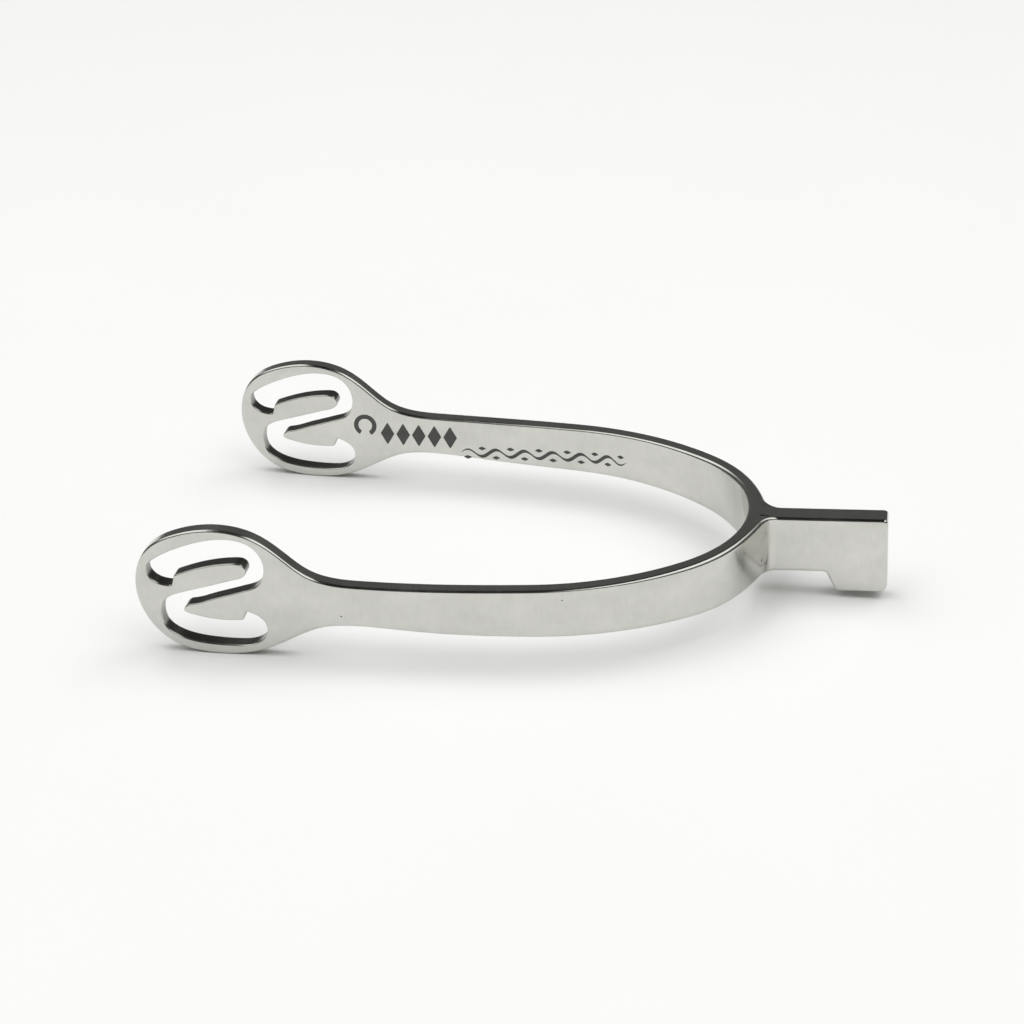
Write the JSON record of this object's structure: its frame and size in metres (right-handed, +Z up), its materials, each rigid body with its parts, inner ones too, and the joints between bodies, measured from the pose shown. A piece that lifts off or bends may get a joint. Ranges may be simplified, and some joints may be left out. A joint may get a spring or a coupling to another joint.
{
  "type": "riding spur",
  "caption": "Stainless steel English riding spur: a U-shaped heel band with serpentine-slotted eyes for a strap, and a down-turned hammer neck.",
  "frame": {"origin": "middle of the heel band's inner face, where the spur bears on the boot's heel", "axes": "+X along the neck, away from the boot; +Y across the boot, to the wearer's one side; +Z up"},
  "size_m": [0.135, 0.082, 0.025],
  "materials": {
    "polished_steel": "polished",
    "ground_weld": "ground and polished"
  },
  "bodies": {
    "root": {"heel_band": "polished_steel", "neck": "polished_steel", "weld_left": "ground_weld", "weld_right": "ground_weld"}
  },
  "joints": []
}
